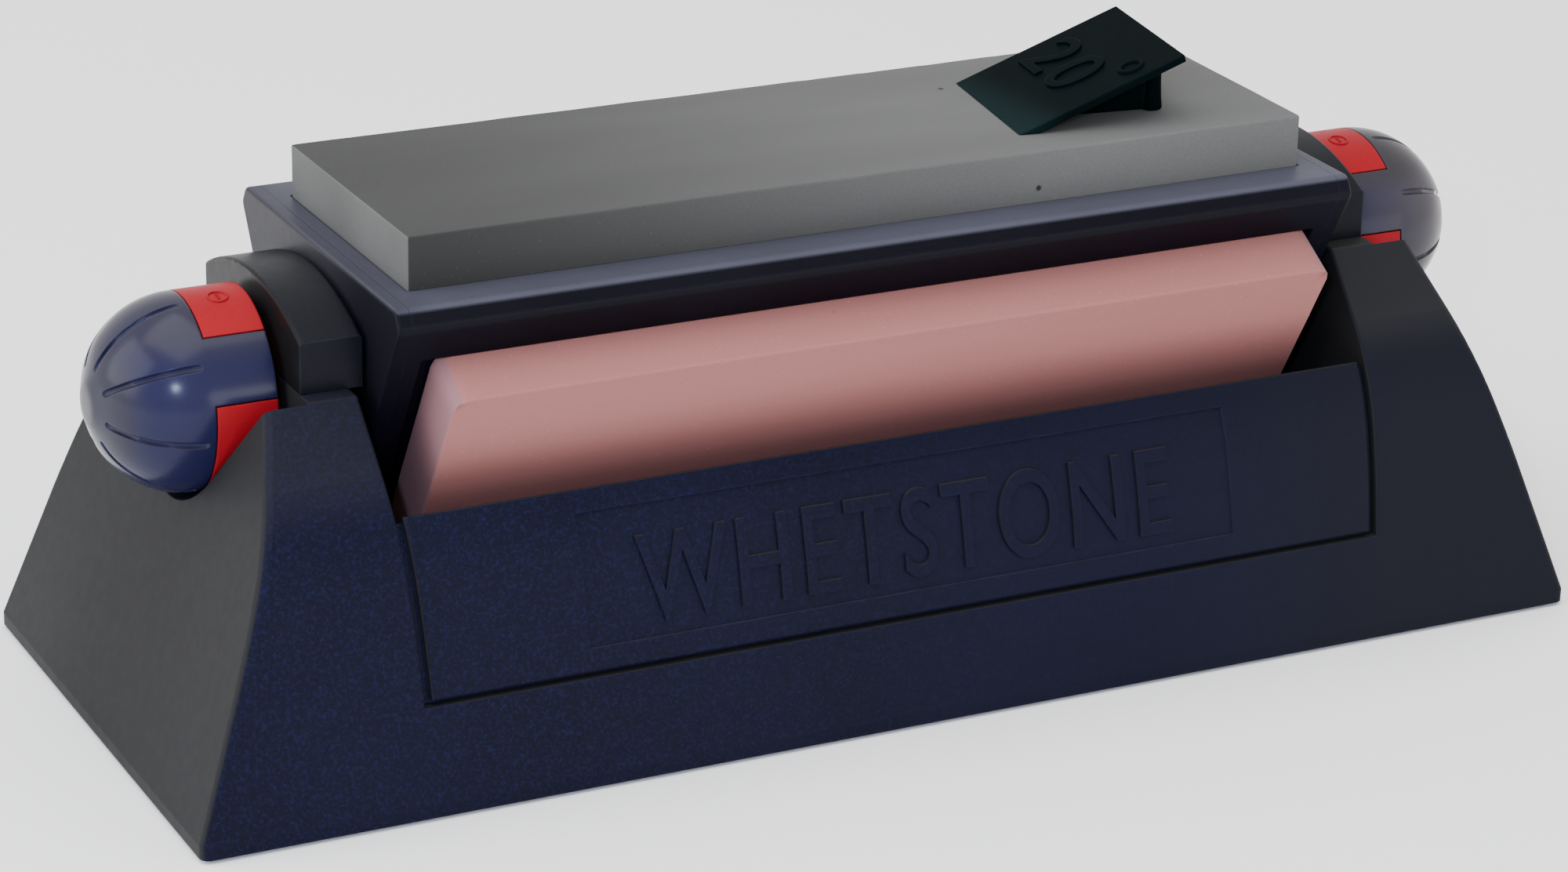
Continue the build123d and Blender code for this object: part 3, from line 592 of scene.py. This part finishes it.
def coil_spring(side):
    """Compression spring inside a knob, from its cup to the end washer."""
    work = bmesh.new()
    around, steps = 12, 36 * SPRING_TURNS
    climb = (SPRING_TO - SPRING_FROM) / (2 * math.pi * SPRING_TURNS)
    rows = []
    for n in range(steps + 1):
        turn = 2 * math.pi * SPRING_TURNS * n / steps
        outward = Vector((0, math.cos(turn), math.sin(turn)))
        along = Vector((climb, -SPRING_R * math.sin(turn), SPRING_R * math.cos(turn))).normalized()
        across = along.cross(outward)
        middle = Vector((SPRING_FROM + climb * turn, 0, AXLE_Z)) + outward * SPRING_R
        row = []
        for k in range(around):
            a = 2 * math.pi * k / around
            spot = middle + (outward * math.cos(a) + across * math.sin(a)) * SPRING_WIRE_R
            row.append(work.verts.new((side * spot.x * MM, spot.y * MM, spot.z * MM)))
        rows.append(row)
    work.faces.new(rows[0])
    work.faces.new(rows[-1][::-1])
    bridge(work, rows)
    bmesh.ops.recalc_face_normals(work, faces=list(work.faces))
    name = "right" if side > 0 else "left"
    mesh = bpy.data.meshes.new(f"{name}_coil_spring")
    work.to_mesh(mesh)
    work.free()
    obj = piece(f"{name}_coil_spring", mesh, "steel", "carrier")
    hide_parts(f"{name}_knob_spring")
    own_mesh(obj)


panel_word()
guide_body()
guide_mark()
for side in (-1, 1):
    lug_marks(side)
    coil_spring(side)


# ---------------------------------------------------------------- camera and light
def place_camera():
    """Camera at the photograph's view: heading, drop and roll in degrees, distance in metres."""
    heading, drop, roll = math.radians(26.72), math.radians(21.33), math.radians(1.22)
    target, distance = Vector((-0.00263, 0.00096, 0.04154)), 1.00736
    look = Vector((math.sin(heading) * math.cos(drop), math.cos(heading) * math.cos(drop), -math.sin(drop)))
    right = look.cross(Vector((0, 0, 1))).normalized()
    up = right.cross(look)
    x_axis = math.cos(roll) * right + math.sin(roll) * up
    y_axis = -math.sin(roll) * right + math.cos(roll) * up
    data = bpy.data.cameras.new("camera")
    data.lens, data.sensor_width, data.sensor_fit = 108.36, 36.0, "HORIZONTAL"
    data.clip_start, data.clip_end = 0.05, 20
    camera = bpy.data.objects.new("camera", data)
    bpy.context.scene.collection.objects.link(camera)
    spot = target - look * distance
    camera.matrix_world = Matrix((
        (x_axis.x, y_axis.x, -look.x, spot.x),
        (x_axis.y, y_axis.y, -look.y, spot.y),
        (x_axis.z, y_axis.z, -look.z, spot.z),
        (0, 0, 0, 1)))
    bpy.context.scene.camera = camera


def area_light(name, spot, aim, size, power, color=(1, 1, 1)):
    """Soft rectangular lamp at spot, turned to aim."""
    data = bpy.data.lights.new(name, "AREA")
    data.shape, data.size, data.size_y = "RECTANGLE", size[0], size[1]
    data.energy, data.color = power, color
    light = bpy.data.objects.new(name, data)
    light.location = spot
    light.rotation_euler = (Vector(aim) - Vector(spot)).to_track_quat("-Z", "Y").to_euler()
    bpy.context.scene.collection.objects.link(light)


def stage():
    """Pale floor, bright even surroundings and soft lights."""
    mesh = bpy.data.meshes.new("floor")
    mesh.from_pydata([(-6, -6, 0), (6, -6, 0), (6, 6, 0), (-6, 6, 0)], [], [(0, 1, 2, 3)])
    floor = bpy.data.objects.new("floor", mesh)
    bpy.context.scene.collection.objects.link(floor)
    s = Shader("floor_paper")
    tone = s.ramp(s.noise(400, 2), [(0.3, (0.94, 0.94, 0.94)), (0.7, (0.96, 0.96, 0.96))])
    floor.data.materials.append(s.finish(tone, 0.9))
    world = bpy.data.worlds.new("studio")
    world.use_nodes = True
    back = world.node_tree.nodes["Background"]
    back.inputs["Color"].default_value = (1.0, 1.0, 1.0, 1)
    back.inputs["Strength"].default_value = 1.35
    bpy.context.scene.world = world
    area_light("key", (-1.35, 0.15, 0.75), (0, 0, 0.08), (1.3, 1.1), 16)
    area_light("top", (-0.25, -0.1, 1.5), (0, 0, 0.08), (1.5, 1.2), 17)
    area_light("fill", (0.5, -1.3, 0.25), (0, 0, 0.06), (0.7, 0.4), 4.5)
    area_light("glint", (-0.63, -0.99, 0.56), (-0.1445, -0.0174, 0.0801), (0.045, 0.045), 6.0,
               color=(0.62, 0.74, 1.0))


place_camera()
stage()
